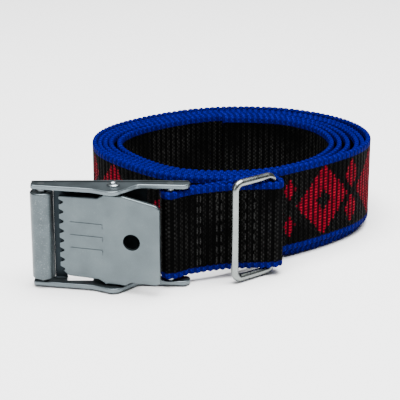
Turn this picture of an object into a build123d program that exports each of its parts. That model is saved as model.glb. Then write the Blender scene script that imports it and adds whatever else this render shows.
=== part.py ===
"""Cam-buckle tie-down strap, coiled on its edge, with a wire ring sewn to its short end.

Millimetres, +Z up.  The origin is the middle of the whole object in plan, at the height of
the surface it stands on.  The strap stands on its edge, so every part of its route is drawn
in plan and raised by the strap's width.  The buckle opens towards -Y.
"""
import os
from math import asin, atan2, cos, hypot, radians, sin, tan

from build123d import *

# ---------------------------------------------------------------- driving dimensions
# webbing
STRAP_WIDTH = 24.6
STRAP_THICKNESS = 1.3
ARC_SHARE = 0.99               # of the room for it that a corner's arc takes
LOOP_GAP = 0.13                # air between the strap and a bar it loops round
BUCKLE_LIFT = 2.5              # height of the strap's lower edge at the buckle and the ring
TURN_LIFT = 1.2                # and in the outermost turn of the coil

# buckle frame, a pressed steel channel
SHEET = 1.2
FRAME_HEIGHT = 28.4
FRAME_LIFT = 0.5               # the rivet heads under the frame hold it off the floor
FRAME_BACK_Y = -25.6
FRAME_LEFT_X = -44.4
FRAME_RIGHT_X = -2.6
PLATE_LEFT_X = -38.7
PLATE_RIGHT_X = -13.8
WINDOW_LEFT_X = -35.5
WINDOW_RIGHT_X = -28.6
WINDOW_LOW_Z, WINDOW_HIGH_Z = -0.5, 24.6
WINDOW_REACH = 3.4             # how far the window is carried forward into the lower side
FRAME_INNER_BEND = 0.5
FRAME_EDGE_ROUND = 0.3          # pressed edges

# lever
LEVER_SHEET = 1.2
LEVER_SIDE_GAP = 0.5           # between the lever's ears and the frame's sides
LEVER_EAR_RADIUS = 2.5
LEVER_EDGE_ROUND = 0.35
PIVOT_X = -22.6
PIVOT_DEPTH = 3.9              # forward of the frame's back face
PIVOT_PIN_RADIUS = 1.2
RIVET_HEAD_RADIUS = 1.75
RIVET_DIMPLE_RADIUS = 0.75
RIVET_DIMPLE_DEPTH = 0.35
RIVET_CHAMFER = 0.25
RUNNING_GAP = 0.05
TEETH_X, TEETH_DEPTH = -36.9, 3.7
CREST_DEPTH = 7.6              # front face of the lever over its pivot
TIP_X, TIP_DEPTH = -10.4, 11.0
TOOTH_COUNT = 8
TOOTH_PITCH = 2.7
TOOTH_LENGTH = 1.0
HOLE_X = -17.9
HOLE_RADIUS = 2.25
RIB_COUNT = 3
RIB_PITCH = 3.6
RIB_HEIGHT = 0.22

# roller and strap pin
ROLLER_X = -41.65
ROLLER_DEPTH = 2.4
ROLLER_RADIUS = 3.05
ROLLER_LENGTH = 24.2
ROLLER_BORE = 1.3
ROLLER_PIN_RADIUS = 1.25
STRAP_PIN_X = -7.8
STRAP_PIN_DEPTH = 2.15
STRAP_PIN_RADIUS = 1.3
TENON_RADIUS = 0.95

# spring
SPRING_WIRE_RADIUS = 0.3
SPRING_COIL_RADIUS = 1.8
SPRING_PITCH = 0.75
SPRING_FULL_TURNS = 4
SPRING_BELOW_MIDDLE = 5.5      # keeps the spring's leg clear of the hole in the lever
LEVER_LEG_ANGLE = 34.0         # where on the coil the leg under the lever leaves it
LEVER_LEG_LENGTH = 4.9
PLATE_LEG_ANGLE = 85.0         # and the leg that rests on the frame's plate
PLATE_LEG_LENGTH = 6.0

# ring
RING_WIRE_RADIUS = 1.0
RING_HEIGHT = 26.9             # between the middles of its long bars' ends
RING_DEPTH = 12.9              # between the middles of its two long bars
RING_CORNER = 2.0
RING_BAR_X, RING_BAR_Y = 19.5, -19.6
RING_MIDDLE_Z = 14.85
RING_LOOP_GAP = 0.6            # the ring hangs loosely in its loop
RING_FOLD_ANGLE = 217.5        # direction of the ring from its captive bar, in plan

# stitches
STITCH_RADIUS = 0.2
STITCH_LENGTH = 2.1
STITCH_PITCH = 3.0
STITCHES_IN_ROW = 7

# middle of the whole object in plan, in the coordinates used above and below
PLAN_CENTRE_X = 2.70
PLAN_CENTRE_Y = 9.86

FRAME_MIDDLE_Z = FRAME_LIFT + FRAME_HEIGHT / 2
INNER_LOW_Z = FRAME_LIFT + SHEET
INNER_HIGH_Z = FRAME_LIFT + FRAME_HEIGHT - SHEET
LEVER_HALF = FRAME_HEIGHT / 2 - SHEET - LEVER_SIDE_GAP


# ---------------------------------------------------------------- helpers
def depth_y(depth):
    """Y of a point that is so far forward of the frame's back face."""
    return FRAME_BACK_Y - depth


def heading(start, end):
    return atan2(end[1] - start[1], end[0] - start[0])


def signed_turn(before, corner, after):
    turn = heading(corner, after) - heading(before, corner)
    while turn > radians(180):
        turn -= radians(360)
    while turn <= radians(-180):
        turn += radians(360)
    return turn


def corner_radius(before, corner, after):
    """The largest arc that a corner can take without using more than half of its runs."""
    run = min(hypot(corner[0] - before[0], corner[1] - before[1]),
              hypot(after[0] - corner[0], after[1] - corner[1]))
    turn = abs(signed_turn(before, corner, after))
    return ARC_SHARE * run / 2 / tan(turn / 2)


def shifted_line(route, side):
    """The route moved sideways by side (left is positive), with its corner radii."""
    points, radii = [], []
    for index, corner in enumerate(route):
        before = route[max(index - 1, 0)]
        after = route[min(index + 1, len(route) - 1)]
        if index in (0, len(route) - 1):
            angle = heading(before, after) + radians(90)
            reach = side
        else:
            turn = signed_turn(before, corner, after)
            angle = heading(before, corner) + radians(90) + turn / 2
            reach = side / cos(turn / 2)
            radius = corner[2] if len(corner) > 2 else corner_radius(before, corner, after)
            radii.append(radius - side * (1 if turn > 0 else -1))
        points.append((corner[0] + reach * cos(angle), corner[1] + reach * sin(angle)))
    return points, radii


def strip(route, thickness, low_z, high_z):
    """A band of even thickness that stands on its edge and follows a route in plan."""
    left_points, left_radii = shifted_line(route, thickness / 2)
    right_points, right_radii = shifted_line(route, -thickness / 2)
    outline = left_points + right_points[::-1]
    radii = [0] + left_radii + [0, 0] + right_radii[::-1] + [0]
    wire = FilletPolyline(*outline, radius=radii, close=True)
    face = make_face(Plane.XY * wire)
    return Pos(0, 0, low_z) * extrude(face, high_z - low_z, dir=(0, 0, 1))


def route_length(route):
    """Length of the route once its corners are rounded."""
    length = 0
    for index in range(1, len(route)):
        length += hypot(route[index][0] - route[index - 1][0], route[index][1] - route[index - 1][1])
    for index in range(1, len(route) - 1):
        before, corner, after = route[index - 1], route[index], route[index + 1]
        turn = abs(signed_turn(before, corner, after))
        radius = corner[2] if len(corner) > 2 else corner_radius(before, corner, after)
        length -= radius * (2 * tan(turn / 2) - turn)
    return length


def loop_corners(before, centre, radius, after):
    """Two corners that carry a clockwise loop from before, round a bar, and on to after."""
    to_bar = heading(before, centre)
    from_bar = heading(centre, after)
    arriving = to_bar + asin(radius / hypot(centre[0] - before[0], centre[1] - before[1]))
    leaving = from_bar - asin(radius / hypot(after[0] - centre[0], after[1] - centre[1]))
    turn = (arriving - leaving) % radians(360)
    reach = radius / cos(turn / 4)
    corners = []
    for share in (1, 3):
        angle = arriving + radians(90) - share * turn / 4
        corners.append((centre[0] + reach * cos(angle), centre[1] + reach * sin(angle),
                        radius * ARC_SHARE))
    return corners


def cylinder(x, y, radius, low_z, high_z):
    return Pos(x, y, (low_z + high_z) / 2) * Cylinder(radius, high_z - low_z)


def outline_plate(points, radii, low_z, thickness):
    wire = FilletPolyline(*points, radius=radii, close=True)
    return Pos(0, 0, low_z) * extrude(make_face(Plane.XY * wire), thickness, dir=(0, 0, 1))


# ---------------------------------------------------------------- buckle frame
# A side's outline as (x, depth forward of the back face), and the radius of each corner.
SIDE_OUTLINE = [
    (FRAME_LEFT_X, 0), (FRAME_LEFT_X, 3.9), (-28.2, 6.9), (-22.3, 10.1),
    (-16.2, 3.5), (FRAME_RIGHT_X, 4.3), (FRAME_RIGHT_X, 0),
]
SIDE_RADII = [0.4, 0.8, 8.0, 3.0, 2.4, 2.1, 1.4]


def rounded_side(side):
    """A side of the frame with all but its back edge rounded, as pressing leaves it."""
    edges = side.edges().filter_by(
        lambda edge: edge.center().Y < FRAME_BACK_Y - 0.3
        and (abs(edge.length - SHEET) > 1e-6 or edge.bounding_box().size.Z < 1e-6))
    return fillet(edges, FRAME_EDGE_ROUND)


def buckle_frame():
    points = [(x, depth_y(depth)) for x, depth in SIDE_OUTLINE]
    lower = rounded_side(outline_plate(points, SIDE_RADII, FRAME_LIFT, SHEET))
    upper = rounded_side(outline_plate(points, SIDE_RADII, INNER_HIGH_Z, SHEET))
    plate = Pos((PLATE_LEFT_X + PLATE_RIGHT_X) / 2, depth_y(SHEET / 2), FRAME_MIDDLE_Z) * Box(
        PLATE_RIGHT_X - PLATE_LEFT_X, SHEET, FRAME_HEIGHT)
    frame = lower + upper + plate
    inner_bends = (
        frame.edges().filter_by(Axis.X)
        .filter_by(lambda edge: abs(edge.center().Y - depth_y(SHEET)) < 0.01)
    )
    frame = fillet(inner_bends, FRAME_INNER_BEND)
    window = Pos((WINDOW_LEFT_X + WINDOW_RIGHT_X) / 2, depth_y(0),
                 (WINDOW_LOW_Z + WINDOW_HIGH_Z) / 2) * Box(
        WINDOW_RIGHT_X - WINDOW_LEFT_X, 2 * WINDOW_REACH, WINDOW_HIGH_Z - WINDOW_LOW_Z)
    frame -= window
    frame -= cylinder(PIVOT_X, depth_y(PIVOT_DEPTH), PIVOT_PIN_RADIUS, -5, 40)
    frame -= cylinder(ROLLER_X, depth_y(ROLLER_DEPTH), TENON_RADIUS, -5, 40)
    frame -= cylinder(STRAP_PIN_X, depth_y(STRAP_PIN_DEPTH), TENON_RADIUS, -5, 40)
    return frame


# ---------------------------------------------------------------- pins and roller
def lever_rivet():
    y = depth_y(PIVOT_DEPTH)
    top_z = FRAME_LIFT + FRAME_HEIGHT
    shank = cylinder(PIVOT_X, y, PIVOT_PIN_RADIUS, 0, top_z + FRAME_LIFT)
    heads = [cylinder(PIVOT_X, y, RIVET_HEAD_RADIUS, low, low + FRAME_LIFT) for low in (0, top_z)]
    rivet = shank + heads[0] + heads[1]
    for dimple_z in (0, top_z + FRAME_LIFT):
        rivet -= cylinder(PIVOT_X, y, RIVET_DIMPLE_RADIUS,
                          dimple_z - RIVET_DIMPLE_DEPTH, dimple_z + RIVET_DIMPLE_DEPTH)
    rims = rivet.edges().filter_by(GeomType.CIRCLE).filter_by(
        lambda edge: edge.center().Z < 0.01 or edge.center().Z > top_z + FRAME_LIFT - 0.01)
    return chamfer(rims, RIVET_CHAMFER)


def tenon_pin(x, depth, radius):
    """A pin held by thinner ends that are riveted flush in the frame's sides."""
    y = depth_y(depth)
    body = cylinder(x, y, radius, INNER_LOW_Z, INNER_HIGH_Z)
    tenons = cylinder(x, y, TENON_RADIUS, FRAME_LIFT, FRAME_LIFT + FRAME_HEIGHT)
    return body + tenons


def roller():
    y = depth_y(ROLLER_DEPTH)
    low_z = FRAME_MIDDLE_Z - ROLLER_LENGTH / 2
    sleeve = cylinder(ROLLER_X, y, ROLLER_RADIUS, low_z, low_z + ROLLER_LENGTH)
    sleeve = fillet(sleeve.edges().filter_by(GeomType.CIRCLE), 0.4)
    return sleeve - cylinder(ROLLER_X, y, ROLLER_BORE, -5, 40)


# ---------------------------------------------------------------- lever
def lever_face_depth(x):
    """Depth of the lever's front face at x."""
    if x < PIVOT_X:
        share = (x - TEETH_X) / (PIVOT_X - TEETH_X)
        return TEETH_DEPTH + share * (CREST_DEPTH - TEETH_DEPTH)
    share = (x - PIVOT_X) / (TIP_X - PIVOT_X)
    return CREST_DEPTH + share * (TIP_DEPTH - CREST_DEPTH)


def lever_band(start_x, end_x, outward, thickness, low_z, high_z):
    """A band that follows the lever's front face, set outward from it."""
    ends = [start_x, end_x]
    if start_x < PIVOT_X < end_x:
        ends = [start_x, PIVOT_X, end_x]
    route = [(x, depth_y(lever_face_depth(x) + outward)) for x in ends]
    if len(route) == 3:
        route[1] = (*route[1], 12.0)
    return strip(route, thickness, low_z, high_z)


def lever_side_view():
    """The lever's outline seen from the front, as a solid to cut the bent plate with."""
    crest, left, low = LEVER_HALF, 11.1, 11.5
    points = [
        (TEETH_X - 1, left), (TEETH_X - 1, -8.7), (-34.9, -11.3),
        (-26.8, -low), (-25.0, -crest), (-19.6, -crest), (-18.2, -low), (TIP_X + 0.3, -low),
        (TIP_X + 0.3, 10.4), (-20.2, crest), (-25.0, crest), (-26.8, left + 0.3),
    ]
    radii = [0.5, 0.5, 1.2, 1.2, 0.8, 0.8, 1.2, 1.8, 2.3, 2.5, 0.8, 1.2]
    wire = FilletPolyline(*[(x, FRAME_MIDDLE_Z + z) for x, z in points], radius=radii, close=True)
    face = make_face(Plane.XZ * wire)
    return extrude(face, 30, dir=(0, -1, 0)) + extrude(face, -1, dir=(0, -1, 0))


def rounded_front(plate):
    """The lever's plate with the rim of its front face rounded, all but the toothed edge."""
    fronts = [face for face in plate.faces() if face.normal_at(face.center()).Y < -0.5]
    edges = [edge for face in fronts for edge in face.edges() if edge.center().X > TEETH_X + 0.2]
    rim = [edge for edge in edges
           if sum((edge.center() - other.center()).length < 1e-4 for other in edges) == 1]
    return fillet(rim, LEVER_EDGE_ROUND)


def lever():
    low_z, high_z = FRAME_MIDDLE_Z - LEVER_HALF, FRAME_MIDDLE_Z + LEVER_HALF
    bent = lever_band(TEETH_X, TIP_X, -LEVER_SHEET / 2, LEVER_SHEET, low_z, high_z)
    face = Pos(0, FRAME_BACK_Y, 0) * lever_side_view()
    plate = rounded_front(bent & face)

    pivot_y = depth_y(PIVOT_DEPTH)
    ear_reach = lever_face_depth(PIVOT_X) - LEVER_SHEET / 2
    for ear_z in (low_z, high_z - LEVER_SHEET):
        ear = cylinder(PIVOT_X, pivot_y, LEVER_EAR_RADIUS, ear_z, ear_z + LEVER_SHEET)
        web = Pos(PIVOT_X, (pivot_y + depth_y(ear_reach)) / 2, ear_z + LEVER_SHEET / 2) * Box(
            2 * LEVER_EAR_RADIUS, ear_reach - PIVOT_DEPTH, LEVER_SHEET)
        plate = plate + ear + web
    plate -= cylinder(PIVOT_X, pivot_y, PIVOT_PIN_RADIUS + RUNNING_GAP, -5, 40)

    hole = Pos(HOLE_X, depth_y(lever_face_depth(HOLE_X)), FRAME_MIDDLE_Z) * Rot(90, 0, 0)
    plate -= hole * Cylinder(HOLE_RADIUS, 8)

    for tooth in range(TOOTH_COUNT):
        notch_z = FRAME_MIDDLE_Z + (tooth - (TOOTH_COUNT - 1) / 2) * TOOTH_PITCH
        notch = Polyline((TEETH_X - 0.5, notch_z - 0.95), (TEETH_X - 0.5, notch_z + 0.95),
                         (TEETH_X + TOOTH_LENGTH, notch_z + 0.25), (TEETH_X + TOOTH_LENGTH, notch_z - 0.25),
                         close=True)
        cutter = extrude(make_face(Plane.XZ * notch), 12, dir=(0, -1, 0))
        plate -= Pos(0, FRAME_BACK_Y, 0) * cutter

    for rib in range(RIB_COUNT):
        rib_z = FRAME_MIDDLE_Z + (rib - (RIB_COUNT - 1) / 2) * RIB_PITCH
        plate += lever_band(-34.2, -25.6, RIB_HEIGHT / 2 - 0.1, RIB_HEIGHT + 0.2,
                            rib_z - 0.6, rib_z + 0.6)
    return plate


def lever_spring():
    """Torsion spring round the rivet: one leg on the frame's plate, one under the lever."""
    turns = SPRING_FULL_TURNS + (PLATE_LEG_ANGLE - LEVER_LEG_ANGLE) / 360
    length = turns * SPRING_PITCH
    low_z = FRAME_MIDDLE_Z - SPRING_BELOW_MIDDLE - length / 2
    seat = Pos(PIVOT_X, depth_y(PIVOT_DEPTH), low_z)
    helix = seat * Rot(0, 0, LEVER_LEG_ANGLE) * Helix(SPRING_PITCH, length, SPRING_COIL_RADIUS)
    profile = Plane(origin=helix @ 0, z_dir=helix % 0) * Circle(SPRING_WIRE_RADIUS)
    spring = sweep(profile, path=helix, is_frenet=True)
    for end, reach in ((0, -LEVER_LEG_LENGTH), (1, PLATE_LEG_LENGTH)):
        leg_plane = Plane(origin=helix @ end, z_dir=helix % end)
        spring += leg_plane * Pos(0, 0, reach / 2) * Cylinder(SPRING_WIRE_RADIUS, abs(reach))
    return spring


# ---------------------------------------------------------------- webbing
# One turn of the coil as the corners of its outer face, from the front right, anticlockwise.
TURN_CORNERS = [
    (37.2, -1.8), (50.1, 13.6), (50.1, 31.8), (41.3, 47.0), (23.8, 56.3), (1.5, 56.3),
    (-18.6, 45.6), (-31.6, 31.5), (-31.6, 13.7), (-20.0, -0.9), (-6.6, -11.8), (18.6, -11.8),
]
# How far in each corner lies in turns 1 to 5: tight in front, looser at the ends.
INSETS = [
    (1.5, 3.0, 4.5, 6.1, 7.7), (1.6, 3.3, 5.9, 8.3, 10.6), (1.6, 3.3, 6.1, 8.5, 10.8),
    (1.5, 3.2, 5.6, 7.6, 9.8), (1.5, 3.1, 5.1, 6.8, 8.6), (1.5, 3.1, 5.0, 6.6, 8.4),
    (1.5, 3.1, 4.9, 7.2, 9.0), (1.5, 3.1, 4.8, 7.4, 9.2), (1.5, 3.1, 4.8, 7.2, 8.9),
    (1.5, 3.0, 4.5, 6.2, 7.8), (1.5, 3.0, 4.5, 6.0, 7.6), (1.5, 3.0, 4.5, 6.0, 7.6),
]
FREE_END = (7.0, 46.6)
CUT_END = (10.4, -20.55)
# The stretch where the short end and the strap are sewn face to face.
SEWN_TAIL = [(6.9, -22.9, 12.0), (-2.6, -26.35, 4.0)]
SEWN_MAIN = [(-3.1, -24.98, 4.0), (5.8, -21.75, 10.0)]
SEAM_SHARES = (0.16, 0.27, 0.73, 0.84)


def inset_corner(index, inset):
    """A corner of the turn moved in, so that both of its sides move in by the inset."""
    count = len(TURN_CORNERS)
    corner = TURN_CORNERS[index]
    turn = signed_turn(TURN_CORNERS[index - 1], corner, TURN_CORNERS[(index + 1) % count])
    angle = heading(TURN_CORNERS[index - 1], corner) + radians(90) + turn / 2
    reach = inset / cos(turn / 2)
    return corner[0] + reach * cos(angle), corner[1] + reach * sin(angle)


def coil_route(turn, first=0, last=11):
    route = []
    for index in range(first, last + 1):
        inset = STRAP_THICKNESS / 2 + (INSETS[index][turn - 1] if turn > 0 else 0)
        route.append(inset_corner(index, inset))
    return route


def between(start, end, share):
    return (start[0] + share * (end[0] - start[0]), start[1] + share * (end[1] - start[1]))


def short_end_route():
    """From the cut end behind the ring's bar, round the bar and the strap pin, to the coil."""
    bar = (RING_BAR_X, RING_BAR_Y)
    ring_loop_radius = RING_WIRE_RADIUS + RING_LOOP_GAP + STRAP_THICKNESS / 2
    pin = (STRAP_PIN_X, depth_y(STRAP_PIN_DEPTH))
    pin_loop_radius = STRAP_PIN_RADIUS + LOOP_GAP + STRAP_THICKNESS / 2
    ring_corners = loop_corners(CUT_END, bar, ring_loop_radius, SEWN_TAIL[0])
    pin_corners = loop_corners(SEWN_TAIL[1], pin, pin_loop_radius, SEWN_MAIN[0])
    return [CUT_END, *ring_corners, *SEWN_TAIL, *pin_corners, *SEWN_MAIN]


def webbing_routes():
    """The strap in three stretches: at the buckle's height, the outer turn, and the rest."""
    outer_turn = coil_route(0)
    second_turn = coil_route(1)
    main_step = between(SEWN_MAIN[-1], outer_turn[0], 0.62)
    inner_step = between(outer_turn[-1], second_turn[0], 0.5)
    short_end = short_end_route() + [main_step]
    outer = [main_step] + outer_turn + [inner_step]
    inner = [inner_step] + second_turn + coil_route(2) + coil_route(3) + coil_route(4)
    inner += coil_route(5, 0, 4)
    return short_end, outer, inner + [FREE_END]


def webbing():
    solids = []
    for route, lift in zip(webbing_routes(), (BUCKLE_LIFT, TURN_LIFT, 0)):
        solids.append(strip(route, STRAP_THICKNESS, lift, lift + STRAP_WIDTH))
        print(f"strap stretch at {lift} mm: {route_length(route):.1f} mm")
    return solids


# ---------------------------------------------------------------- stitches
def stitch_rows(start, end, shares):
    """Rows of stitches down the strap, on the left face of a run of its route."""
    angle = heading(start, end)
    outward = STRAP_THICKNESS / 2 + STITCH_RADIUS
    stitches = []
    first_z = BUCKLE_LIFT + STRAP_WIDTH / 2 - (STITCHES_IN_ROW - 1) / 2 * STITCH_PITCH
    for share in shares:
        x, y = between(start, end, share)
        x -= outward * sin(angle)
        y += outward * cos(angle)
        for index in range(STITCHES_IN_ROW):
            middle_z = first_z + index * STITCH_PITCH
            stitches.append(cylinder(x, y, STITCH_RADIUS, middle_z - STITCH_LENGTH / 2,
                                     middle_z + STITCH_LENGTH / 2))
    return stitches


def buckle_seam():
    """The seam that closes the loop round the strap pin, seen on both faces."""
    return stitch_rows(*SEWN_TAIL, SEAM_SHARES) + stitch_rows(*SEWN_MAIN, SEAM_SHARES)


def ring_seam():
    """The seam that closes the loop round the ring's bar."""
    route = short_end_route()
    return stitch_rows(route[2], route[3], (0.5, 0.66)) + stitch_rows(route[0], route[1], (0.2, 0.42))


# ---------------------------------------------------------------- ring
def ring():
    """A rectangle of bent wire, folded back over the strap's short end."""
    long_half, corner = RING_HEIGHT / 2, RING_CORNER
    outline = FilletPolyline((0, -long_half), (RING_DEPTH, -long_half), (RING_DEPTH, long_half),
                             (0, long_half), radius=corner, close=True)
    angle = radians(RING_FOLD_ANGLE)
    plane = Plane(origin=(RING_BAR_X, RING_BAR_Y, RING_MIDDLE_Z),
                  x_dir=(cos(angle), sin(angle), 0), z_dir=(sin(angle), -cos(angle), 0))
    path = plane * outline
    start = Plane(origin=path @ 0.1, z_dir=path % 0.1)
    return sweep(start * Circle(RING_WIRE_RADIUS), path=path)


# ---------------------------------------------------------------- write the files
def write(name, *solids):
    to_origin = Pos(-PLAN_CENTRE_X, -PLAN_CENTRE_Y, 0)
    shapes = [to_origin * solid for solid in solids]
    part = shapes[0] if len(shapes) == 1 else Compound(children=shapes)
    export_step(part, f"parts/{name}.step")
    box = part.bounding_box()
    print(f"{name:24s} volume {part.volume:9.1f}  "
          f"x {box.min.X:7.2f} {box.max.X:7.2f}  y {box.min.Y:7.2f} {box.max.Y:7.2f}  "
          f"z {box.min.Z:6.2f} {box.max.Z:6.2f}")


os.makedirs("parts", exist_ok=True)
write("buckle_frame", buckle_frame())
write("lever_rivet", lever_rivet())
write("cam_lever", lever())
write("roller_pin", tenon_pin(ROLLER_X, ROLLER_DEPTH, ROLLER_PIN_RADIUS))
write("roller", roller())
write("strap_pin", tenon_pin(STRAP_PIN_X, STRAP_PIN_DEPTH, STRAP_PIN_RADIUS))
write("lever_spring", lever_spring())
write("ring", ring())
strap_solids = webbing()
write("webbing", strap_solids[0] + strap_solids[1] + strap_solids[2])
write("buckle_seam", *buckle_seam())
write("ring_seam", *ring_seam())
for title, x, y in (("lever hinge", PIVOT_X, depth_y(PIVOT_DEPTH)),
                    ("roller spin", ROLLER_X, depth_y(ROLLER_DEPTH)),
                    ("ring hinge", RING_BAR_X, RING_BAR_Y)):
    print(f"{title}: x {x - PLAN_CENTRE_X:.2f}  y {y - PLAN_CENTRE_Y:.2f}")
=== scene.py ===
# %% [markdown]
# # A coiled tie-down strap with a clamp-lever buckle
#
# The real object is 1.2 m of 25 mm polyester webbing, coiled on its edge, with a pressed steel
# buckle sewn to one end and a wire ring sewn beside it. The steel pieces come from the CAD model
# and get new finishes here. The webbing and its stitches are made new, because cloth needs
# thread-scale relief that a CAD solid does not have.

# %% Load the fixed frame
import math

import bmesh
import bpy
import numpy as np
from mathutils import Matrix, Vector


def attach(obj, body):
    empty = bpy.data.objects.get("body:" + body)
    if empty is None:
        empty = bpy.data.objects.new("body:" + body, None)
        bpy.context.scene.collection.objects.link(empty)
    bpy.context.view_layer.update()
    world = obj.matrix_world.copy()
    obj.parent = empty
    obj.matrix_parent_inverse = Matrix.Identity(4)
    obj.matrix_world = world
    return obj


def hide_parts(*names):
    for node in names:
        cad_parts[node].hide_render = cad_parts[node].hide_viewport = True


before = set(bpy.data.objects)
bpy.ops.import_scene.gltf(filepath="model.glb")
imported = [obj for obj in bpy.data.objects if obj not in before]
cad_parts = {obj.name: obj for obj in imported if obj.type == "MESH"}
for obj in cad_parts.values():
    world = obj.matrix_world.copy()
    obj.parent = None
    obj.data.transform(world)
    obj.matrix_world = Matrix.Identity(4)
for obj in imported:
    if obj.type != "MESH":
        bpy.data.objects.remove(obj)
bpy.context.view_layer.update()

MM = 0.001
bpy.ops.object.select_all(action="DESELECT")

# %% [markdown]
# ## Camera
#
# The object is seen from its front, 20 degrees above the floor, through a long lens from a little
# over 0.4 m. A long lens keeps the near buckle and the far side of the coil close in scale.

# %% Camera
CAMERA_DISTANCE = 0.424
CAMERA_ELEVATION = math.radians(20)
CAMERA_TARGET = Vector((-2.70, -9.86, 14.0)) * MM
LENS_MM = 135
SENSOR_MM = 36
NEAREST_SEEN = 0.01

camera_data = bpy.data.cameras.new("camera")
camera_data.lens = LENS_MM
camera_data.sensor_width = SENSOR_MM
camera_data.clip_start = NEAREST_SEEN
camera = bpy.data.objects.new("camera", camera_data)
bpy.context.scene.collection.objects.link(camera)
toward_camera = Vector((0, -math.cos(CAMERA_ELEVATION), math.sin(CAMERA_ELEVATION)))
camera.location = CAMERA_TARGET + CAMERA_DISTANCE * toward_camera
camera.rotation_euler = (math.radians(90) - CAMERA_ELEVATION, 0, 0)
bpy.context.scene.camera = camera
print("Camera stands", round(camera.location.z / MM), "mm above the floor")

# %% [markdown]
# ## Light and floor
#
# A dark strap and satin steel need one broad soft light from above, so that the top edges catch
# it, and a dimmer surrounding, so that the steel's upright faces stay a middle grey. The floor is
# plain and pale.

# %% Colours and nodes


def srgb(hex_colour):
    """A hex colour as the linear numbers that a shader wants."""
    channels = [int(hex_colour[index:index + 2], 16) / 255 for index in (1, 3, 5)]
    linear = [c / 12.92 if c <= 0.04045 else ((c + 0.055) / 1.055) ** 2.4 for c in channels]
    return (*linear, 1.0)


def add_node(tree, kind, inputs=None, **settings):
    """One node, with its settings. Each input is a value, a socket to link from, or another
    node, which stands for the first of its outputs that is in use."""
    node = tree.nodes.new(kind)
    for name, value in settings.items():
        setattr(node, name, value)
    for name, value in (inputs or {}).items():
        if isinstance(value, bpy.types.Node):
            value = next(output for output in value.outputs if output.enabled)
        if isinstance(value, bpy.types.NodeSocket):
            tree.links.new(value, node.inputs[name])
        else:
            node.inputs[name].default_value = value
    return node


print("Mid grey as a shader wants it:", round(srgb("#808080")[0], 3))

# %% Light and floor
SURROUND_STRENGTH = 0.22
FLOOR_SIZE = 6

world = bpy.data.worlds.new("studio")
bpy.context.scene.world = world
world.use_nodes = True
surround = world.node_tree.nodes["Background"]
surround.inputs["Color"].default_value = srgb("#c9ced2")
surround.inputs["Strength"].default_value = SURROUND_STRENGTH


def soft_light(name, place, aim, size, power):
    """A square area light at a place in metres, turned to its aim."""
    data = bpy.data.lights.new(name, "AREA")
    data.shape = "SQUARE"
    data.size = size
    data.energy = power
    light = bpy.data.objects.new(name, data)
    light.location = place
    light.rotation_euler = (Vector(aim) - Vector(place)).to_track_quat("-Z", "Y").to_euler()
    bpy.context.scene.collection.objects.link(light)


soft_light("overhead", place=(0.05, -0.08, 0.75), aim=(0, 0, 0), size=0.7, power=31.0)
soft_light("front_left", place=(-0.55, -0.60, 0.45), aim=(0, -0.02, 0.01), size=0.4, power=2.0)

bpy.ops.mesh.primitive_plane_add(size=FLOOR_SIZE, location=(0, FLOOR_SIZE / 4, 0))
floor = bpy.context.object
floor.name = "floor"
floor_paint = bpy.data.materials.new("white_table_top")
floor_paint.use_nodes = True
floor_shader = floor_paint.node_tree.nodes["Principled BSDF"]
floor_shader.inputs["Base Color"].default_value = srgb("#fdfdfd")
floor_shader.inputs["Roughness"].default_value = 0.7
floor.data.materials.append(floor_paint)
bpy.ops.object.select_all(action="DESELECT")
print("Floor and", len(bpy.data.lights), "lights are in place")

# %% [markdown]
# ## The strap's path
#
# The strap is one strip. It starts at the cut end behind the ring, loops round the ring's bar,
# runs left to the pin in the buckle, loops round that, and comes back to wind the coil from the
# outside in. The path is drawn in plan as a smooth NURBS line, because a dozen control points for
# each turn then give an even curve, where a Bezier curve would need handles at every one. The outer
# turn is drawn point by point, and each inner turn passes the same corners further in: 1.5 mm more
# for each turn where the coil is tight, and up to 2.8 mm more at its ends, where the turns fan out.

# %% Control points of the strap's path, in mm in plan
STRAP_WIDTH = 24.6
STRAP_THICKNESS = 1.3
BUCKLE_LIFT = 2.5
PLAN_CENTRE = (2.70, 9.86)

TURN_CORNERS = [
    (37.2, -1.8), (50.1, 13.6), (50.1, 31.8), (41.3, 47.0), (23.8, 56.3), (1.5, 56.3),
    (-18.6, 45.6), (-31.6, 31.5), (-31.6, 13.7), (-20.0, -0.9), (-6.6, -11.8), (18.6, -11.8),
]
# For each corner, how far inside the outer turn the other five turns pass it.
INSETS = [
    (1.5, 3.0, 4.5, 6.1, 7.7), (1.6, 3.3, 5.9, 8.3, 10.6), (1.6, 3.3, 6.1, 8.5, 10.8),
    (1.5, 3.2, 5.6, 7.6, 9.8), (1.5, 3.1, 5.1, 6.8, 8.6), (1.5, 3.1, 5.0, 6.6, 8.4),
    (1.5, 3.1, 4.9, 7.2, 9.0), (1.5, 3.1, 4.8, 7.4, 9.2), (1.5, 3.1, 4.8, 7.2, 8.9),
    (1.5, 3.0, 4.5, 6.2, 7.8), (1.5, 3.0, 4.5, 6.0, 7.6), (1.5, 3.0, 4.5, 6.0, 7.6),
]
TURNS = 6
LAST_TURN_CORNERS = 5
CUT_END = (10.4, -20.55)
FREE_END = (7.0, 46.6)
SEWN_TAIL = [(6.9, -22.9), (-2.6, -26.35)]
SEWN_MAIN = [(-3.1, -24.98), (5.8, -21.75)]
RING_BAR, RING_LOOP_RADIUS = (19.5, -19.6), 2.25
STRAP_PIN, PIN_LOOP_RADIUS = (-7.8, -27.75), 2.08


def heading(start, end):
    """The direction from one plan point to another, in radians."""
    return math.atan2(end[1] - start[1], end[0] - start[0])


def turn_between(before, corner, after):
    """How far the path turns at a corner, anticlockwise, in radians."""
    turn = heading(corner, after) - heading(before, corner)
    return (turn + math.pi) % (2 * math.pi) - math.pi


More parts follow.
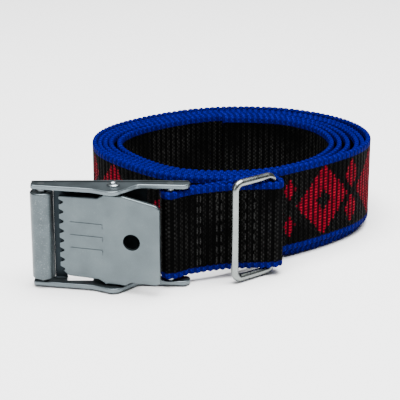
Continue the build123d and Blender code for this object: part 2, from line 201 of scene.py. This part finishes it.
def inset_corner(index, inset):
    """A corner of the outer turn moved inwards, so that both of its sides move by the inset."""
    corner = TURN_CORNERS[index]
    before = TURN_CORNERS[index - 1]
    turn = turn_between(before, corner, TURN_CORNERS[(index + 1) % len(TURN_CORNERS)])
    angle = heading(before, corner) + math.pi / 2 + turn / 2
    reach = inset / math.cos(turn / 2)
    return corner[0] + reach * math.cos(angle), corner[1] + reach * math.sin(angle)


def loop_points(before, centre, radius, after):
    """Control points that carry the strap clockwise round a bar."""
    gap_in = math.hypot(centre[0] - before[0], centre[1] - before[1])
    gap_out = math.hypot(after[0] - centre[0], after[1] - centre[1])
    arriving = heading(before, centre) + math.asin(radius / gap_in)
    leaving = heading(centre, after) - math.asin(radius / gap_out)
    turn = (arriving - leaving) % (2 * math.pi)
    reach = radius / math.cos(turn / 4)
    side = radius * math.tan(turn / 4)
    corners = []
    for share in (1, 3):
        angle = arriving + math.pi / 2 - share * turn / 4
        corners.append((centre[0] + reach * math.cos(angle), centre[1] + reach * math.sin(angle)))
    entry = (corners[0][0] - 2 * side * math.cos(arriving),
             corners[0][1] - 2 * side * math.sin(arriving))
    way_out = (corners[1][0] + 2 * side * math.cos(leaving),
               corners[1][1] + 2 * side * math.sin(leaving))
    return [entry, *corners, way_out]


print("The outer turn has", len(TURN_CORNERS), "corners")

# %% The path as a smooth line
STEPS_PER_POINT = 24

path_points = [CUT_END]
path_points += loop_points(CUT_END, RING_BAR, RING_LOOP_RADIUS, SEWN_TAIL[0])
path_points += SEWN_TAIL
path_points += loop_points(SEWN_TAIL[1], STRAP_PIN, PIN_LOOP_RADIUS, SEWN_MAIN[0])
path_points += SEWN_MAIN
for turn_number in range(TURNS):
    corners_passed = LAST_TURN_CORNERS if turn_number == TURNS - 1 else len(TURN_CORNERS)
    for corner_index in range(corners_passed):
        inset = INSETS[corner_index][turn_number - 1] if turn_number else 0
        path_points.append(inset_corner(corner_index, STRAP_THICKNESS / 2 + inset))
path_points.append(FREE_END)

path_data = bpy.data.curves.new("strap_path", "CURVE")
path_data.dimensions = "3D"
path_data.resolution_u = STEPS_PER_POINT
spline = path_data.splines.new("NURBS")
spline.points.add(len(path_points) - 1)
for point, (x, y) in zip(spline.points, path_points):
    point.co = (x - PLAN_CENTRE[0], y - PLAN_CENTRE[1], 0, 1)
spline.order_u = 3
spline.use_endpoint_u = True
path_curve = bpy.data.objects.new("strap_path", path_data)
bpy.context.scene.collection.objects.link(path_curve)
bpy.context.view_layer.update()
path_mesh = bpy.data.meshes.new_from_object(path_curve)
path_xy = np.array([vertex.co[:2] for vertex in path_mesh.vertices])
bpy.data.objects.remove(path_curve)
bpy.data.meshes.remove(path_mesh)

step_lengths = np.hypot(*np.diff(path_xy, axis=0).T)
path_s = np.concatenate([[0], np.cumsum(step_lengths)])
STRAP_LENGTH = path_s[-1]
print(f"{len(path_points)} control points give a strap {STRAP_LENGTH:.0f} mm long")

# %% [markdown]
# ## Webbing as a woven strip
#
# Heavy webbing shows its weft as ribs across the strap, about 1.8 mm apart, and each rib ends in
# a small rounded knuckle at the edge. Both are wide enough to see in outline, so they are modelled.
# They could be pushed out of a plain strip by a displacement, but that needs a fine mesh all over.
# Instead a section is drawn once, as a flat band with rounded edges, and laid along the path seven
# times for each rib, thicker on the rib and thinner between ribs. No two hollows are pulled equally
# tight, as on a real loom. The finer warp threads are left to the material.

# %% The strap's section and its height above the floor
RIB_PITCH = 1.8
SECTIONS_PER_RIB = 7
RIB_DEPTH = 0.20
KNUCKLE_DEPTH = 0.36
HOLLOW_SHARPNESS = 0.9
LOOSEST_PULL, TIGHTEST_PULL = 0.45, 1.25
PERIMETER = 2 * (STRAP_WIDTH + STRAP_THICKNESS)

# The strap leaves the buckle, comes down between two places along it, and then settles slowly.
DESCENT_START, DESCENT_END = 105.0, 165.0
LOW_LIFT = 0.7
SETTLING_LENGTH = 200

# The rounded lower edge of the section, as across, up, and the girth measured round it so far.
ROUNDED_EDGE = [(0.0, 0.0, 0.0), (-0.42, 0.08, 0.42), (-0.66, 0.36, 0.80), (-0.70, 0.9, 1.34)]
FLAT_STARTS = 2.4


def lift_at(s):
    """Height of the strap's lower edge: held up by the buckle, then down to the floor."""
    share = np.clip((s - DESCENT_START) / (DESCENT_END - DESCENT_START), 0, 1)
    smooth = share * share * (3 - 2 * share)
    settled = np.clip((s - DESCENT_END) / SETTLING_LENGTH, 0, 1)
    return BUCKLE_LIFT + (LOW_LIFT - BUCKLE_LIFT) * smooth - LOW_LIFT * settled


def section_profile():
    """The section as (across, up, girth) with the girth measured round it from the lower edge."""
    half = STRAP_THICKNESS / 2
    points = list(ROUNDED_EDGE)
    for up in (FLAT_STARTS, STRAP_WIDTH / 2):
        points.append((-half, up, half + up))
    upper = [(x, STRAP_WIDTH - z, PERIMETER / 2 - g) for x, z, g in points[:-1][::-1]]
    right_side = points + upper
    left_side = [(-x, z, PERIMETER - g) for x, z, g in right_side[1:-1][::-1]]
    return right_side + left_side


section = np.array(section_profile())
print("The section has", len(section), "points")

# %% Sections laid along the path
section_count = int(STRAP_LENGTH / RIB_PITCH * SECTIONS_PER_RIB)
s_values = np.linspace(0, STRAP_LENGTH, section_count)
centre_x = np.interp(s_values, path_s, path_xy[:, 0])
centre_y = np.interp(s_values, path_s, path_xy[:, 1])
tangent_x, tangent_y = np.gradient(centre_x, s_values), np.gradient(centre_y, s_values)
tangent_size = np.hypot(tangent_x, tangent_y)
normal_x, normal_y = -tangent_y / tangent_size, tangent_x / tangent_size
between_ribs = 1 - np.abs(np.cos(math.pi * s_values / RIB_PITCH)) ** HOLLOW_SHARPNESS
rib_count = int(STRAP_LENGTH / RIB_PITCH) + 2
rib_pull = np.random.default_rng(7).uniform(LOOSEST_PULL, TIGHTEST_PULL, rib_count)
between_ribs *= rib_pull[(s_values / RIB_PITCH).astype(int)]
thinning = 1 - between_ribs * RIB_DEPTH / STRAP_THICKNESS * 2
narrowing = 1 - between_ribs * KNUCKLE_DEPTH * 2 / STRAP_WIDTH

across = section[None, :, 0] * thinning[:, None]
middle_z = lift_at(s_values) + STRAP_WIDTH / 2
height = middle_z[:, None] + (section[None, :, 1] - STRAP_WIDTH / 2) * narrowing[:, None]
vertices = np.stack([
    centre_x[:, None] + normal_x[:, None] * across,
    centre_y[:, None] + normal_y[:, None] * across,
    height,
], axis=-1) * MM
print(f"{section_count} sections, {RIB_PITCH / SECTIONS_PER_RIB:.2f} mm apart")

# %% Faces between the sections, with their map
section_size = len(section)
faces, face_uvs = [], []
girth = np.append(section[:, 2], PERIMETER)
for row in range(section_count - 1):
    for column in range(section_size):
        beside = (column + 1) % section_size
        faces.append((row * section_size + column, (row + 1) * section_size + column,
                      (row + 1) * section_size + beside, row * section_size + beside))
        face_uvs.append(((row, column), (row + 1, column), (row + 1, column + 1), (row, column + 1)))
webbing_mesh = bpy.data.meshes.new("webbing_woven")
start_cap = tuple(range(section_size))
end_cap = tuple((section_count - 1) * section_size + column
                for column in reversed(range(section_size)))
webbing_mesh.from_pydata(vertices.reshape(-1, 3).tolist(), [], faces + [start_cap, end_cap])
uv_layer = webbing_mesh.uv_layers.new(name="along_and_round")
uvs = [(s_values[row] * MM, girth[column] * MM) for corners in face_uvs for row, column in corners]
uvs += [(0.0, girth[column] * MM) for column in start_cap]
uvs += [(STRAP_LENGTH * MM, girth[column] * MM) for column in reversed(range(section_size))]
uv_layer.data.foreach_set("uv", np.array(uvs).ravel())
webbing = bpy.data.objects.new("webbing_woven", webbing_mesh)
bpy.context.scene.collection.objects.link(webbing)
webbing_mesh.polygons.foreach_set("use_smooth", [True] * len(webbing_mesh.polygons))
webbing_mesh.update()
print("Webbing has", len(webbing_mesh.polygons) * 2, "triangles")

# %% [markdown]
# ## Webbing finish
#
# The yarn is spun-dyed polyester: black in the body, royal blue in the edge threads, and red warp
# floats on the face side only. A single filament is glossy, but the hundreds in each yarn scatter
# the light, so the strap looks nearly matt. Light and shade on the threads are painted into the
# colour: a painted highlight on the top of each float, and painted shade in the hollows beside it.
# The weave could be an image, but then it would be only as sharp as the image.
# Here it is worked out by nodes from the strap's own map, which runs along its length and round its
# girth in metres, so that every thread keeps its real size. The red figures are plain diamonds,
# stepped thread by thread as a jacquard loom would.

# %% Webbing finish: where each point lies on the strap
FULL_TURN = 2 * math.pi
WARP_PITCH = 1.2
FIGURE_FLOAT_PITCH = 0.85

webbing_finish = bpy.data.materials.new("spun_dyed_polyester_webbing")
webbing_finish.use_nodes = True
tree = webbing_finish.node_tree
strap_map = add_node(tree, "ShaderNodeUVMap", uv_map="along_and_round")
map_parts = add_node(tree, "ShaderNodeSeparateXYZ", {"Vector": strap_map})
along, round_girth = map_parts.outputs["X"], map_parts.outputs["Y"]
print("The map runs", round(STRAP_LENGTH), "mm along and", round(PERIMETER, 1), "mm round")

# %% [markdown]
# ### Ribs and floats
#
# Across each rib lie the warp threads that pass over it. In plain webbing they show as two columns
# of beads on every rib, one of them half a bead above the other. A wave along the strap gives the
# ribs, a wave round it gives the floats, and each is eased so that beads have flat tops and narrow
# hollows. In the red figures one float crosses the whole rib, and the floats lie closer.

# %% Ribs and floats
rib_turn = add_node(tree, "ShaderNodeMath", {
    0: along, 1: FULL_TURN / (RIB_PITCH * MM)}, operation="MULTIPLY")
rib_height = add_node(tree, "ShaderNodeMath", {0: rib_turn}, operation="COSINE")
rib_body = add_node(tree, "ShaderNodeMapRange", {
    "Value": rib_height, "From Min": -0.55, "From Max": 0.35,
    "To Min": 0.0, "To Max": 1.0}, interpolation_type="SMOOTHSTEP")
between_columns = add_node(tree, "ShaderNodeMapRange", {
    "Value": rib_height, "From Min": 0.86, "From Max": 1.0,
    "To Min": 1.0, "To Max": 0.55}, interpolation_type="SMOOTHSTEP")

rib_slope = add_node(tree, "ShaderNodeMath", {0: rib_turn}, operation="SINE")
column_side = add_node(tree, "ShaderNodeMath", {0: rib_slope}, operation="SIGN")
thread_turn = add_node(tree, "ShaderNodeMath", {
    0: round_girth, 1: FULL_TURN / (WARP_PITCH * MM)}, operation="MULTIPLY")
warp_turn = add_node(tree, "ShaderNodeMath", {
    0: column_side, 1: FULL_TURN / 4, 2: thread_turn}, operation="MULTIPLY_ADD")
float_wave = add_node(tree, "ShaderNodeMath", {0: warp_turn}, operation="COSINE")
float_top = add_node(tree, "ShaderNodeMapRange", {
    "Value": float_wave, "From Min": -0.5, "From Max": 0.9,
    "To Min": 0.0, "To Max": 1.0}, interpolation_type="SMOOTHSTEP")
float_level = add_node(tree, "ShaderNodeMath", {
    0: float_top, 1: 0.7, 2: 0.3}, operation="MULTIPLY_ADD")
columns = add_node(tree, "ShaderNodeMath", {0: rib_body, 1: between_columns}, operation="MULTIPLY")
ground_bead = add_node(tree, "ShaderNodeMath", {0: columns, 1: float_level}, operation="MULTIPLY")

figure_turn = add_node(tree, "ShaderNodeMath", {
    0: round_girth, 1: FULL_TURN / (FIGURE_FLOAT_PITCH * MM)}, operation="MULTIPLY")
figure_wave = add_node(tree, "ShaderNodeMath", {0: figure_turn}, operation="COSINE")
figure_float = add_node(tree, "ShaderNodeMapRange", {
    "Value": figure_wave, "From Min": -0.7, "From Max": 0.9,
    "To Min": 0.25, "To Max": 1.0}, interpolation_type="SMOOTHSTEP")
figure_bead = add_node(tree, "ShaderNodeMath", {
    0: rib_body, 1: figure_float}, operation="MULTIPLY")
print("Floats are", WARP_PITCH, "mm apart, and in the figures", FIGURE_FLOAT_PITCH, "mm")

# %% [markdown]
# ### Uneven yarn
#
# Woven yarn is never quite even. Fine filaments run along it, the tension drifts from yarn to yarn,
# and handling flattens the ribs in patches. In those patches the painted bead highlight fades, so
# the ground goes quite black. Each is a noise stretched to its own grain, given in cycles per metre
# along the strap and round it.

# %% Uneven yarn
FILAMENT_GRAIN = (900, 5200, 1)
TENSION_GRAIN = (420, 820, 1)
PATCH_GRAIN = (70, 60, 1)

filament_map = add_node(tree, "ShaderNodeMapping", {"Vector": strap_map, "Scale": FILAMENT_GRAIN})
filament = add_node(tree, "ShaderNodeTexNoise", {
    "Vector": filament_map, "Scale": 1.0, "Detail": 2.0})
tension_map = add_node(tree, "ShaderNodeMapping", {"Vector": strap_map, "Scale": TENSION_GRAIN})
tension = add_node(tree, "ShaderNodeTexNoise", {
    "Vector": tension_map, "Scale": 1.0, "Detail": 1.0})
patch_map = add_node(tree, "ShaderNodeMapping", {"Vector": strap_map, "Scale": PATCH_GRAIN})
patches = add_node(tree, "ShaderNodeTexNoise", {
    "Vector": patch_map, "Scale": 1.0, "Detail": 2.0})
print("Filament grain in mm:", [round(1000 / cycles, 2) for cycles in FILAMENT_GRAIN[:2]])

# %% [markdown]
# ### Blue edges and red figures
#
# The edge threads are all those within the selvedge's width of either edge. The figures repeat
# every 47 mm. A diamond is the set of points whose distances along and across, each divided by the
# diamond's half size, add up to less than one. Positions are first snapped to whole threads, which
# gives the stepped outline of woven figures.

# %% Blue edges and red figures
SELVEDGE = 1.65
MOTIF_PERIOD = 47.0
MOTIF_START = 2.5
# Each diamond: its centre along the motif, half its length, half its height, and how far a
# mirrored pair lies above and below the strap's middle.
LARGE_DIAMOND = (10.0, 10.0, 10.5, 0.0)
EYE_OF_LARGE = (10.0, 2.8, 3.0, 0.0)
OTHER_DIAMONDS = [(21.6, 3.0, 4.6, 5.2), (33.2, 9.6, 10.5, 0.0), (44.6, 2.2, 3.0, 5.2)]

from_edge = add_node(tree, "ShaderNodeMath", {
    0: round_girth, 1: PERIMETER / 4 * MM}, operation="PINGPONG")
selvedge = add_node(tree, "ShaderNodeMath", {
    0: from_edge, 1: (STRAP_THICKNESS / 2 + SELVEDGE) * MM}, operation="LESS_THAN")

rib_thread = add_node(tree, "ShaderNodeMath", {
    0: along, 1: RIB_PITCH / 2 * MM}, operation="SNAP")
warp_thread = add_node(tree, "ShaderNodeMath", {
    0: round_girth, 1: WARP_PITCH / 2 * MM}, operation="SNAP")
shifted = add_node(tree, "ShaderNodeMath", {0: rib_thread, 1: MOTIF_START * MM}, operation="ADD")
motif_place = add_node(tree, "ShaderNodeMath", {
    0: shifted, 1: MOTIF_PERIOD * MM}, operation="MODULO")
from_middle = add_node(tree, "ShaderNodeMath", {
    0: warp_thread, 1: PERIMETER / 4 * MM}, operation="SUBTRACT")
rise = add_node(tree, "ShaderNodeMath", {0: from_middle}, operation="ABSOLUTE")


def diamond_reach(centre, half_length, half_height, lifted):
    """How far a point lies from a diamond's centre, as a share that is 1 on its outline."""
    aside = add_node(tree, "ShaderNodeMath", {0: motif_place, 1: centre * MM}, operation="SUBTRACT")
    aside = add_node(tree, "ShaderNodeMath", {0: aside}, operation="ABSOLUTE")
    apart = add_node(tree, "ShaderNodeMath", {0: rise, 1: lifted * MM}, operation="SUBTRACT")
    apart = add_node(tree, "ShaderNodeMath", {0: apart}, operation="ABSOLUTE")
    long_share = add_node(tree, "ShaderNodeMath", {
        0: aside, 1: 1 / (half_length * MM)}, operation="MULTIPLY")
    high_share = add_node(tree, "ShaderNodeMath", {
        0: apart, 1: 1 / (half_height * MM)}, operation="MULTIPLY")
    return add_node(tree, "ShaderNodeMath", {0: long_share, 1: high_share}, operation="ADD")


in_large = add_node(tree, "ShaderNodeMath", {
    0: diamond_reach(*LARGE_DIAMOND), 1: 1.0}, operation="LESS_THAN")
off_eye = add_node(tree, "ShaderNodeMath", {
    0: diamond_reach(*EYE_OF_LARGE), 1: 1.0}, operation="GREATER_THAN")
figure = add_node(tree, "ShaderNodeMath", {0: in_large, 1: off_eye}, operation="MULTIPLY")
for diamond in OTHER_DIAMONDS:
    inside = add_node(tree, "ShaderNodeMath", {
        0: diamond_reach(*diamond), 1: 1.0}, operation="LESS_THAN")
    figure = add_node(tree, "ShaderNodeMath", {0: figure, 1: inside}, operation="MAXIMUM")
face_side = add_node(tree, "ShaderNodeMath", {
    0: round_girth, 1: PERIMETER / 2 * MM}, operation="LESS_THAN")
figure = add_node(tree, "ShaderNodeMath", {0: figure, 1: face_side}, operation="MULTIPLY")
print("Figures repeat", round(STRAP_LENGTH / MOTIF_PERIOD), "times along the strap")

# %% [markdown]
# ### Colours of the webbing
#
# Each yarn colour runs from a painted shade in its hollows to a painted highlight on its floats. The
# beads say which of the two shows, and the uneven tension weakens some of them. The same beads and
# filaments make the bump, which shades the surface as if its threads stood up to 0.2 mm proud.

# %% Colours of the webbing
BEAD_RELIEF = 0.2
SCATTERED_ROUGHNESS = 0.7
SCATTERED_SPECULAR = 0.015

bead = add_node(tree, "ShaderNodeMix", {"Factor": figure, "A": ground_bead, "B": figure_bead})
even_pull = add_node(tree, "ShaderNodeMapRange", {
    "Value": tension, "From Min": 0.3, "From Max": 0.7,
    "To Min": 0.45, "To Max": 1.0}, interpolation_type="SMOOTHSTEP")
strength = add_node(tree, "ShaderNodeMath", {0: bead, 1: even_pull}, operation="MULTIPLY")

# Patches where the painted bead highlight fades, as where handling has flattened the ribs.
patchy_bead_highlight = add_node(tree, "ShaderNodeMapRange", {
    "Value": patches, "From Min": 0.35, "From Max": 0.62,
    "To Min": 0.15, "To Max": 1.15}, interpolation_type="SMOOTHSTEP")
# The yarn colours below run from painted shade in the hollows to a painted highlight on the floats.
body_top = add_node(tree, "ShaderNodeMath", {0: strength, 1: 1.6}, operation="POWER")
body_level = add_node(tree, "ShaderNodeMath", {0: body_top, 1: patchy_bead_highlight}, operation="MULTIPLY")
black_yarn = add_node(tree, "ShaderNodeMix", {
    "Factor": body_level, "A": srgb("#010101"), "B": srgb("#212120")}, data_type="RGBA")
red_yarn = add_node(tree, "ShaderNodeMix", {
    "Factor": strength, "A": srgb("#180004"), "B": srgb("#8c051f")}, data_type="RGBA")
edge_level = add_node(tree, "ShaderNodeMath", {
    0: strength, 1: 0.85, 2: 0.15}, operation="MULTIPLY_ADD")
blue_yarn = add_node(tree, "ShaderNodeMix", {
    "Factor": edge_level, "A": srgb("#030128"), "B": srgb("#0a0774")}, data_type="RGBA")

with_figures = add_node(tree, "ShaderNodeMix", {
    "Factor": figure, "A": black_yarn, "B": red_yarn}, data_type="RGBA")
with_edges = add_node(tree, "ShaderNodeMix", {
    "Factor": selvedge, "A": with_figures, "B": blue_yarn}, data_type="RGBA")
relief = add_node(tree, "ShaderNodeMath", {
    0: filament, 1: 0.12, 2: bead}, operation="MULTIPLY_ADD")
thread_relief = add_node(tree, "ShaderNodeBump", {
    "Height": relief, "Strength": 1.0, "Distance": BEAD_RELIEF * MM})

webbing_shader = tree.nodes["Principled BSDF"]
tree.links.new(with_edges.outputs["Result"], webbing_shader.inputs["Base Color"])
tree.links.new(thread_relief.outputs["Normal"], webbing_shader.inputs["Normal"])
webbing_shader.inputs["Roughness"].default_value = SCATTERED_ROUGHNESS
webbing_shader.inputs["Specular IOR Level"].default_value = SCATTERED_SPECULAR
webbing_mesh.materials.append(webbing_finish)
print("Webbing finish uses", len(tree.nodes), "nodes")

# %% Webbing takes the place of its CAD solid
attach(webbing, "buckle_and_strap")
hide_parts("webbing")
print("A sheet cut", STRAP_WIDTH, "x", round(STRAP_LENGTH), "mm")

# %% [markdown]
# ## Steel finishes
#
# The buckle is pressed from sheet and electroplated with zinc, which leaves a satin, slightly
# blue-grey skin: bright, but too soft to mirror. Faint rolling lines and handling marks break up
# its reflections. The ring has the same plating over drawn wire, so its marks run along its long
# bars, and it looks a little brighter, as do the pins. The spring is bare drawn wire.
#
# A plain grey metal would look like paint, so one recipe gives all of them clouds of slightly
# darker metal, a stretched grain in the bump, and small bright rubs. Only its colours, roughness
# and grain change from piece to piece.

# %% One recipe for bright steel
RUBS_PER_METRE = 2600.0


def bright_steel(name, colour, worn_colour, roughness, grain, grain_depth, cloud_mm,
                 flecks=0.04, recess_y=None):
    """A satin steel finish. Grain is in cycles per metre, and depths and clouds are in mm."""
    material = bpy.data.materials.new(name)
    material.use_nodes = True
    tree = material.node_tree
    shader = tree.nodes["Principled BSDF"]
    place = add_node(tree, "ShaderNodeTexCoord").outputs["Object"]
    clouds = add_node(tree, "ShaderNodeTexNoise", {
        "Vector": place, "Scale": 1 / (cloud_mm * MM), "Detail": 4.0, "Roughness": 0.6})
    tint = add_node(tree, "ShaderNodeMix", {
        "Factor": clouds, "A": srgb(colour), "B": srgb(worn_colour)}, data_type="RGBA")
    speckle = add_node(tree, "ShaderNodeTexNoise", {
        "Vector": place, "Scale": RUBS_PER_METRE, "Detail": 3.0})
    rub = add_node(tree, "ShaderNodeMapRange", {
        "Value": speckle, "From Min": 0.58, "From Max": 0.70, "To Max": flecks})
    surface = add_node(tree, "ShaderNodeMix", {
        "Factor": rub, "A": tint, "B": srgb("#c4cbcd")}, data_type="RGBA")
    if recess_y is not None:
        # The wall behind the lever lies deep in the recess, where shade falls, so painted shade
        # darkens its inner face almost to black.
        depth = add_node(tree, "ShaderNodeSeparateXYZ", {"Vector": place})
        offset = add_node(tree, "ShaderNodeMath", {
            0: depth.outputs["Y"], 1: recess_y * MM}, operation="SUBTRACT")
        distance = add_node(tree, "ShaderNodeMath", {0: offset}, operation="ABSOLUTE")
        painted_recess_shade = add_node(tree, "ShaderNodeMapRange", {
            "Value": distance, "From Min": 0.15 * MM, "From Max": 0.6 * MM,
            "To Min": 0.93, "To Max": 0.0})
        surface = add_node(tree, "ShaderNodeMix", {
            "Factor": painted_recess_shade, "A": surface, "B": srgb("#10161a")}, data_type="RGBA")
    tree.links.new(surface.outputs["Result"], shader.inputs["Base Color"])
    rough = add_node(tree, "ShaderNodeMapRange", {
        "Value": clouds, "From Min": 0.3, "From Max": 0.7,
        "To Min": roughness - 0.06, "To Max": roughness + 0.08})
    tree.links.new(rough.outputs["Result"], shader.inputs["Roughness"])
    grain_map = add_node(tree, "ShaderNodeMapping", {"Vector": place, "Scale": grain})
    marks = add_node(tree, "ShaderNodeTexNoise", {
        "Vector": grain_map, "Scale": 1.0, "Detail": 3.0, "Roughness": 0.7})
    bump = add_node(tree, "ShaderNodeBump", {
        "Height": marks, "Strength": 0.6, "Distance": grain_depth * MM})
    tree.links.new(bump.outputs["Normal"], shader.inputs["Normal"])
    shader.inputs["Metallic"].default_value = 1.0
    return material


print("Rubs are about", round(1000 / RUBS_PER_METRE, 2), "mm apart")

# %% Finishes for the steel pieces
# Real marks are finer than this. They are drawn 0.25 to 0.4 mm across so that they show.
ROLLED_GRAIN = (500, 500, 4000)
TURNED_GRAIN = (3500, 3500, 400)
EVEN_GRAIN = (2500, 2500, 2500)
DRAWN_GRAIN = (2500, 2500, 600)
INNER_WALL_Y = -36.66

pressed_zinc = bright_steel("zinc_plated_pressed_steel", "#596265", "#4d5558", 0.38,
                            ROLLED_GRAIN, 0.006, 6.0, flecks=0.02)
# The frame's finish paints shade onto the wall behind the lever.
frame_zinc = bright_steel("zinc_plated_pressed_steel_painted_recess_shade", "#687175", "#5a6367", 0.38,
                          ROLLED_GRAIN, 0.006, 6.0, recess_y=INNER_WALL_Y)
roller_zinc = bright_steel("zinc_plated_turned_steel", "#565f62", "#464d50", 0.36,
                           TURNED_GRAIN, 0.008, 3.0, flecks=0.12)
pin_zinc = bright_steel("zinc_plated_rivet_steel", "#8a9194", "#747b7e", 0.32,
                        EVEN_GRAIN, 0.006, 2.0)
wire_zinc = bright_steel("zinc_plated_drawn_wire", "#868b89", "#717674", 0.26,
                         DRAWN_GRAIN, 0.006, 2.5)
spring_wire = bright_steel("drawn_spring_steel", "#8d8f90", "#6f7274", 0.32,
                           EVEN_GRAIN, 0.004, 1.5)
FINISHES = {
    "buckle_frame": frame_zinc, "cam_lever": pressed_zinc, "lever_rivet": pin_zinc,
    "roller_pin": pin_zinc, "strap_pin": pin_zinc, "roller": roller_zinc,
    "ring": wire_zinc, "lever_spring": spring_wire,
}
for node_name, finish in FINISHES.items():
    node_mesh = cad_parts[node_name].data
    node_mesh.materials.clear()
    node_mesh.materials.append(finish)
print("Steel finishes on", ", ".join(sorted(FINISHES)))

# %% [markdown]
# ## Stitches
#
# Two seams close the loops. Each stitch is a short length of bonded thread that rises out of one
# needle hole and dips into the next. A row could be one cord, but separate stitches show the gaps
# where the thread goes down. One stitch is modelled and copied along each row. It starts as a
# sphere, is squeezed in edit mode to a thread's size, and has its ends pushed towards the strap in a
# few steps, so that it bows. Blender lists a sphere's faces in an order that can change from run to
# run, so the seams' faces can come in a different order, though never in a different shape.

# %% One stitch
STITCH_LENGTH = 2.1
STITCH_RADIUS = 0.2
STITCH_DIP = 0.16
DIP_STARTS = (0.2, 0.5, 0.7, 0.9, 0.98)

bpy.ops.object.select_all(action="DESELECT")
bpy.ops.mesh.primitive_uv_sphere_add(segments=10, ring_count=10, radius=1)
stitch_model = bpy.context.object
stitch_model.name = "stitch_model"
bpy.ops.object.mode_set(mode="EDIT")
bpy.ops.mesh.select_all(action="SELECT")
bpy.ops.transform.resize(value=(STITCH_RADIUS * MM, STITCH_RADIUS * MM, STITCH_LENGTH / 2 * MM))
for start_share in DIP_STARTS:
    bpy.ops.mesh.select_all(action="DESELECT")
    stitch_edit = bmesh.from_edit_mesh(stitch_model.data)
    for vertex in stitch_edit.verts:
        vertex.select_set(abs(vertex.co.z) > start_share * STITCH_LENGTH / 2 * MM)
    bmesh.update_edit_mesh(stitch_model.data)
    bpy.ops.transform.translate(value=(-STITCH_DIP / len(DIP_STARTS) * MM, 0, 0))
bpy.ops.object.mode_set(mode="OBJECT")
bpy.ops.object.shade_smooth()
stitch_model.select_set(False)
print("One stitch has", len(stitch_model.data.polygons), "faces")

# %% [markdown]
# ### Thread finish
#
# Bonded thread is three twisted plies held by a clear resin, black here. The plies show as slanting
# bands. A wave texture gives them to the bump as a slight relief, and to the colour as a painted
# highlight on each ply's crown.

# %% Thread finish
PLY_BANDS = 900.0
PLY_RELIEF = 0.03

thread_finish = bpy.data.materials.new("bonded_polyester_thread")
thread_finish.use_nodes = True
thread_tree = thread_finish.node_tree
thread_place = add_node(thread_tree, "ShaderNodeTexCoord").outputs["Object"]
twist = add_node(thread_tree, "ShaderNodeTexWave", {
    "Vector": thread_place, "Scale": PLY_BANDS, "Distortion": 0.6}, bands_direction="DIAGONAL")
# The lighter ply crowns are a painted highlight.
thread_colour = add_node(thread_tree, "ShaderNodeMix", {
    "Factor": twist.outputs["Fac"], "A": srgb("#090909"), "B": srgb("#222221")}, data_type="RGBA")
thread_shader = thread_tree.nodes["Principled BSDF"]
thread_tree.links.new(thread_colour.outputs["Result"], thread_shader.inputs["Base Color"])
thread_bump = add_node(thread_tree, "ShaderNodeBump", {
    "Height": twist.outputs["Fac"], "Strength": 0.5, "Distance": PLY_RELIEF * MM})
thread_tree.links.new(thread_bump.outputs["Normal"], thread_shader.inputs["Normal"])
thread_shader.inputs["Roughness"].default_value = 0.6
thread_shader.inputs["Specular IOR Level"].default_value = 0.1
print("Thread finish uses", len(thread_tree.nodes), "nodes")

# %% [markdown]
# ### Sewing the rows
#
# A row crosses the strap. Each of its stitches stands at the strap's surface, turned to face out
# of it, and a seam's rows are joined into one piece. Its place is then applied to its mesh.

# %% Sewing the rows
STITCH_PITCH = 3.0
STITCHES_IN_ROW = 7


def place_on_strap(s, side, up):
    """A point on the strap's surface: side is +1 for the left face of its run, -1 for the right."""
    x, y = np.interp(s, path_s, path_xy[:, 0]), np.interp(s, path_s, path_xy[:, 1])
    row = min(int(s / STRAP_LENGTH * (section_count - 1)), section_count - 1)
    out = Vector((normal_x[row] * side, normal_y[row] * side, 0))
    centre = Vector((x, y, float(lift_at(s)) + up))
    return centre + out * (STRAP_THICKNESS / 2), out


def nearest_s(point):
    """The place along the strap, in mm, that lies nearest to a plan point."""
    aside = path_xy[:, 0] - point[0] + PLAN_CENTRE[0]
    ahead = path_xy[:, 1] - point[1] + PLAN_CENTRE[1]
    return path_s[int(np.argmin(np.hypot(aside, ahead)))]


def sew(name, cad_node, rows):
    """Rows of stitches, given as (position along the strap, side), joined into one piece."""
    copies = []
    first_up = STRAP_WIDTH / 2 - (STITCHES_IN_ROW - 1) / 2 * STITCH_PITCH
    for s, side in rows:
        for index in range(STITCHES_IN_ROW):
            point, out = place_on_strap(s, side, first_up + index * STITCH_PITCH)
            copy = stitch_model.copy()
            copy.data = stitch_model.data.copy()
            bpy.context.scene.collection.objects.link(copy)
            copy.location = point * MM
            copy.rotation_euler = (0, 0, math.atan2(out.y, out.x))
            copies.append(copy)
    bpy.ops.object.select_all(action="DESELECT")
    for copy in copies:
        copy.select_set(True)
    bpy.context.view_layer.objects.active = copies[0]
    bpy.ops.object.join()
    seam = bpy.context.object
    bpy.ops.object.transform_apply(location=True, rotation=True, scale=True)
    seam.name = name
    seam.data.materials.append(thread_finish)
    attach(seam, "buckle_and_strap")
    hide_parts(cad_node)
    seam.select_set(False)


def rows_between(start, end, shares, side):
    """Rows that cross the strap at shares of the way between two plan points."""
    places = [[a + share * (b - a) for a, b in zip(start, end)] for share in shares]
    return [(nearest_s(place), side) for place in places]


BUCKLE_SHARES = (0.16, 0.27, 0.73, 0.84)
buckle_rows = rows_between(*SEWN_TAIL, BUCKLE_SHARES, 1)
buckle_rows += rows_between(*SEWN_MAIN, BUCKLE_SHARES, 1)
sew("stitches_at_buckle", "buckle_seam", buckle_rows)
ring_rows = rows_between(path_points[3], SEWN_TAIL[0], (0.5, 0.66), 1)
ring_rows += rows_between(CUT_END, path_points[2], (0.2, 0.42), 1)
sew("stitches_at_ring", "ring_seam", ring_rows)
bpy.data.objects.remove(stitch_model)
print("Stitches:", (len(buckle_rows) + len(ring_rows)) * STITCHES_IN_ROW)
